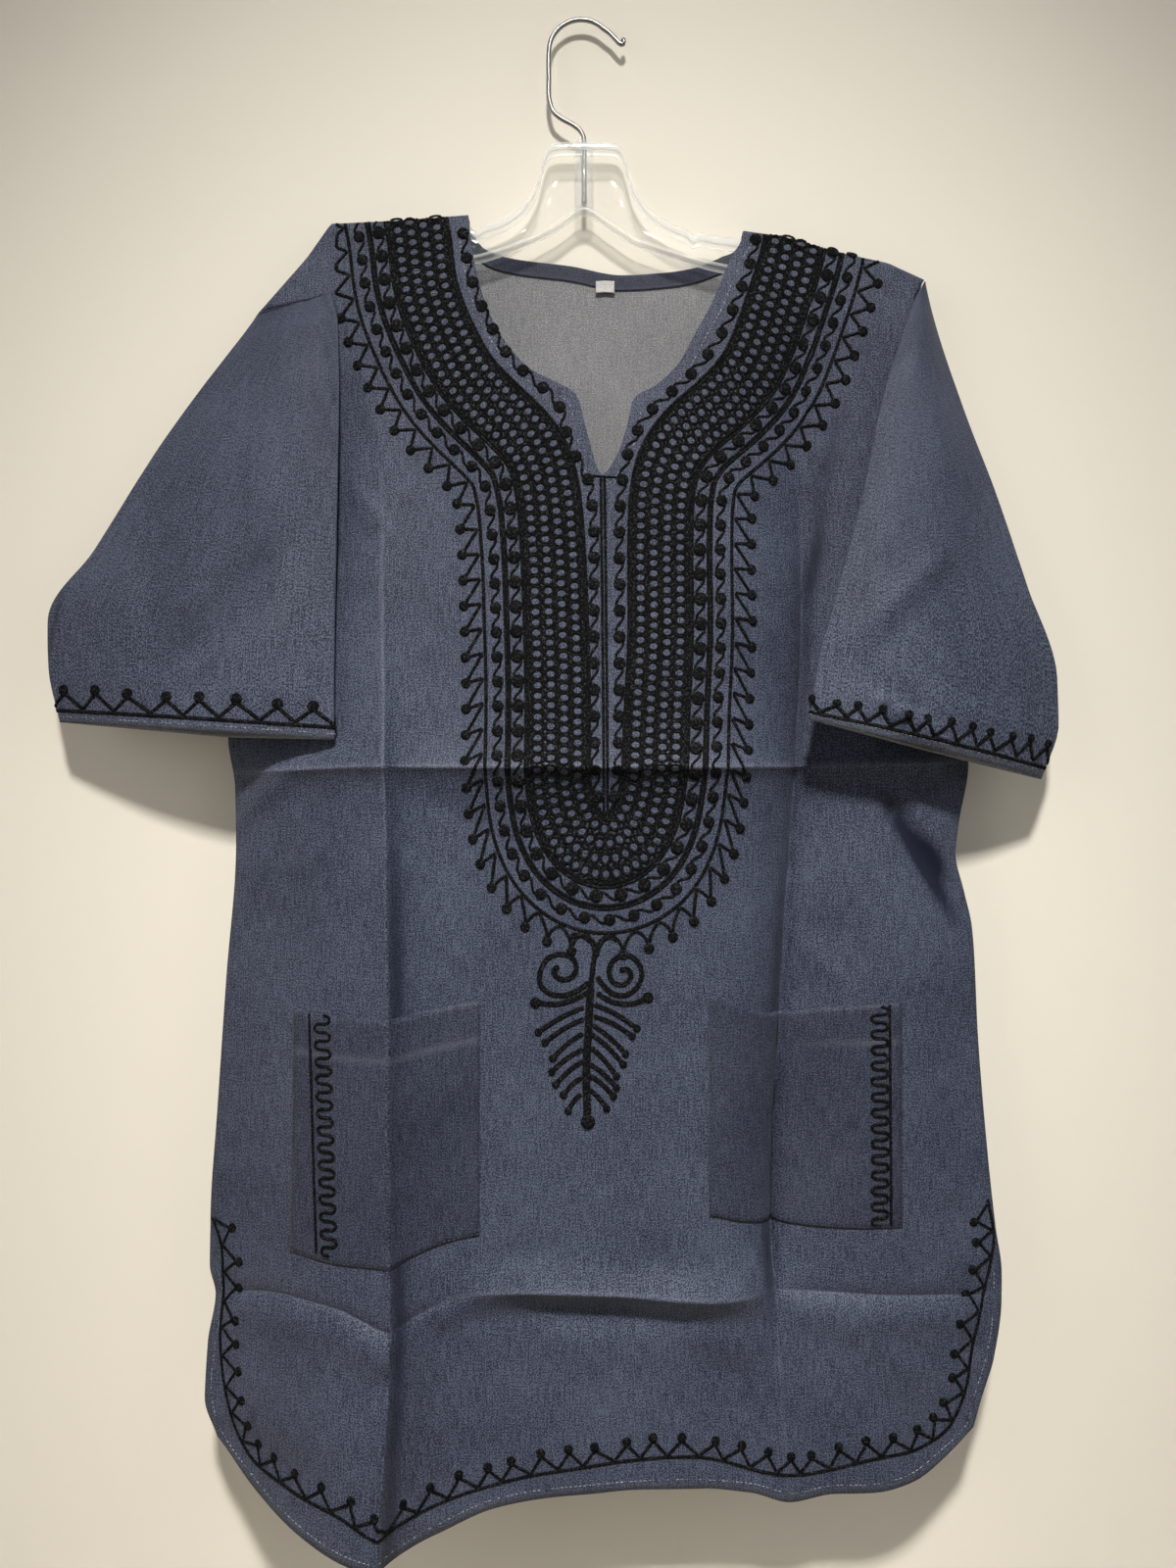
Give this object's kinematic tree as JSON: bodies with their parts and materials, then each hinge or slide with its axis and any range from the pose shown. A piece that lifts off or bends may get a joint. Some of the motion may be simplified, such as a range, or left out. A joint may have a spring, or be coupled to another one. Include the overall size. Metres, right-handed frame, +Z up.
{
  "type": "dashiki shirt on a clear plastic hanger",
  "caption": "Loose pull-over shirt with a slit neck, short wide sleeves, patch pockets, curved hem and raised yoke embroidery, hanging on a clear top hanger with a wire hook.",
  "frame": {"origin": "inside top of the hook's bend, where it rests on a rail or nail", "axes": "+Z up, +Y to the shirt's back, so the front is seen looking along +Y; +X to that viewer's right"},
  "size_m": [0.7017, 0.0806, 1.0315],
  "materials": {
    "body_cloth": "blue-grey cotton chambray with slubs and packing creases",
    "pocket_cloth": "the same chambray, as patch pockets",
    "facing_cloth": "deeper blue turned-in strip",
    "label_tape": "plain white woven tape, blank",
    "clear_plastic": "clear moulded polystyrene",
    "hook_steel": "bright zinc-plated wire"
  },
  "bodies": {
    "root": {"front": "body_cloth", "back": "body_cloth", "sleeve_left": "body_cloth", "sleeve_right": "body_cloth", "pocket_left": "pocket_cloth", "pocket_right": "pocket_cloth", "back_neck_facing": "facing_cloth", "neck_label": "label_tape", "hanger_body": "clear_plastic", "hanger_hook": "hook_steel"}
  },
  "joints": []
}
